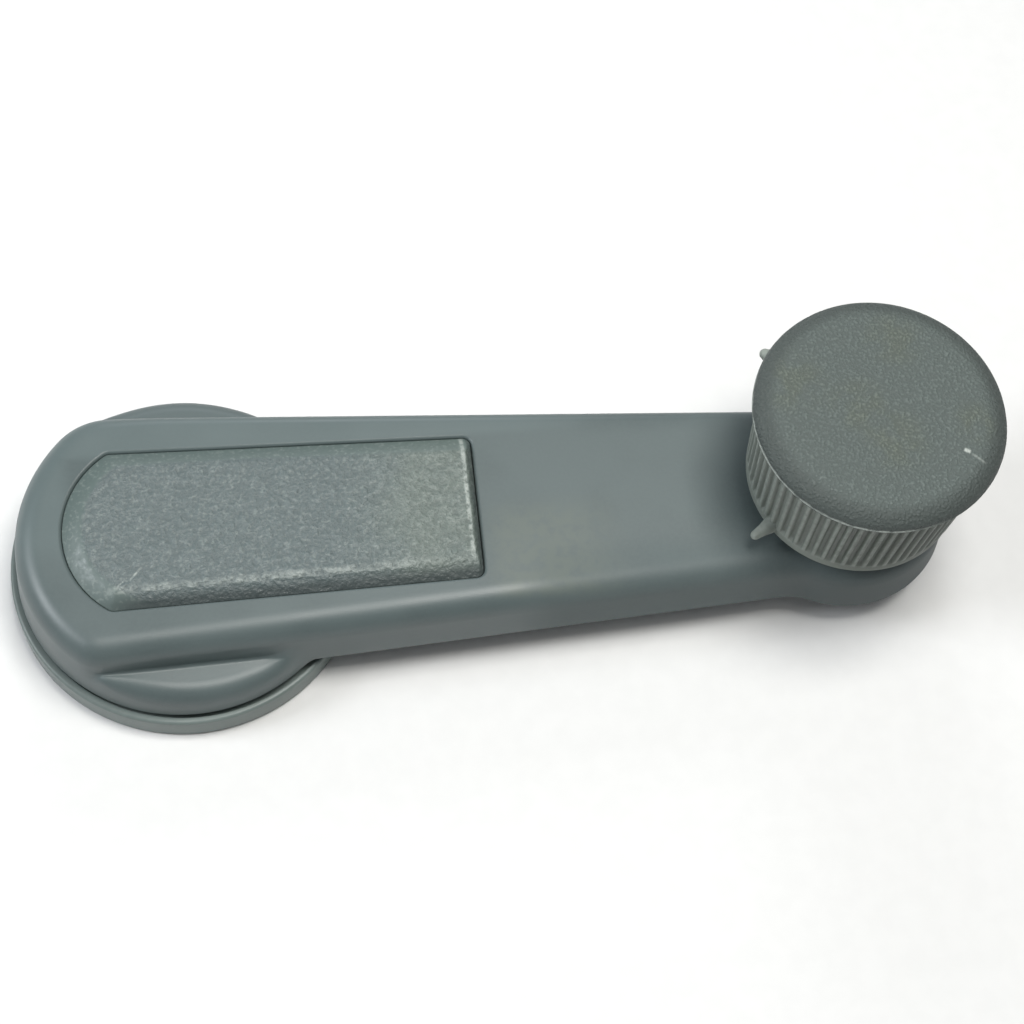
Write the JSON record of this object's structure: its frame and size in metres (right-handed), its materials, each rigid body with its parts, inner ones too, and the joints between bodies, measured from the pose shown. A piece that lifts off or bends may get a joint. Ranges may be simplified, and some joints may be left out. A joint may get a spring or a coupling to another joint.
{
  "type": "window crank handle",
  "caption": "Hand crank for a car window: tapering moulded arm on a splined boss, loose escutcheon behind the hub, lift-out screw cover and a fluted spinning knob.",
  "frame": {"origin": "on the spindle axis, in the plane of the door trim", "axes": "+X to the knob axis, +Z out of the door along the spindle, +Y completes the right hand"},
  "size_m": [0.1272, 0.0462, 0.0356],
  "materials": {
    "arm_plastic": "satin moulded grey-green",
    "cover_plastic": "leather-grained moulded grey",
    "escutcheon_plastic": "satin moulded grey-green",
    "knob_plastic": "worn satin moulded grey-green",
    "knob_cap_plastic": "fine-grained matt moulded grey-green",
    "core_steel": "phosphated",
    "boss_steel": "turned",
    "plated_steel": "zinc plated",
    "spring_steel": "blued",
    "bush_bronze": "sintered",
    "nylon": "natural nylon",
    "felt": "pressed felt",
    "foam": "closed-cell foam"
  },
  "bodies": {
    "door_side": {"escutcheon": "escutcheon_plastic", "trim_pad": "foam", "felt_ring": "felt"},
    "crank": {"arm_shell": "arm_plastic", "arm_core": "core_steel", "core_screws": "plated_steel", "spline_boss": "boss_steel", "retaining_screw": "plated_steel", "lock_washer": "spring_steel", "plain_washer": "plated_steel", "escutcheon_washer": "plated_steel", "escutcheon_clip": "spring_steel", "knob_pin": "boss_steel", "thrust_washer": "nylon", "disc_spring": "spring_steel", "top_washer": "plated_steel", "pin_clip": "spring_steel"},
    "knob": {"knob_body": "knob_plastic", "knob_bush": "bush_bronze", "knob_cap": "knob_cap_plastic"},
    "cover": {"cover_cap": "cover_plastic"}
  },
  "joints": [
    {"name": "crank_turn", "type": "hinge", "parent": "door_side", "child": "crank", "pos_m": [0, 0, 0], "axis": [0, 0, 1], "continuous": true},
    {"name": "knob_spin", "type": "hinge", "parent": "crank", "child": "knob", "pos_m": [0.088, 0, 0], "axis": [0, 0, 1], "continuous": true},
    {"name": "cover_lift", "type": "slide", "parent": "crank", "child": "cover", "axis": [0, 0, 1], "range_m": [0, 0.015]}
  ]
}
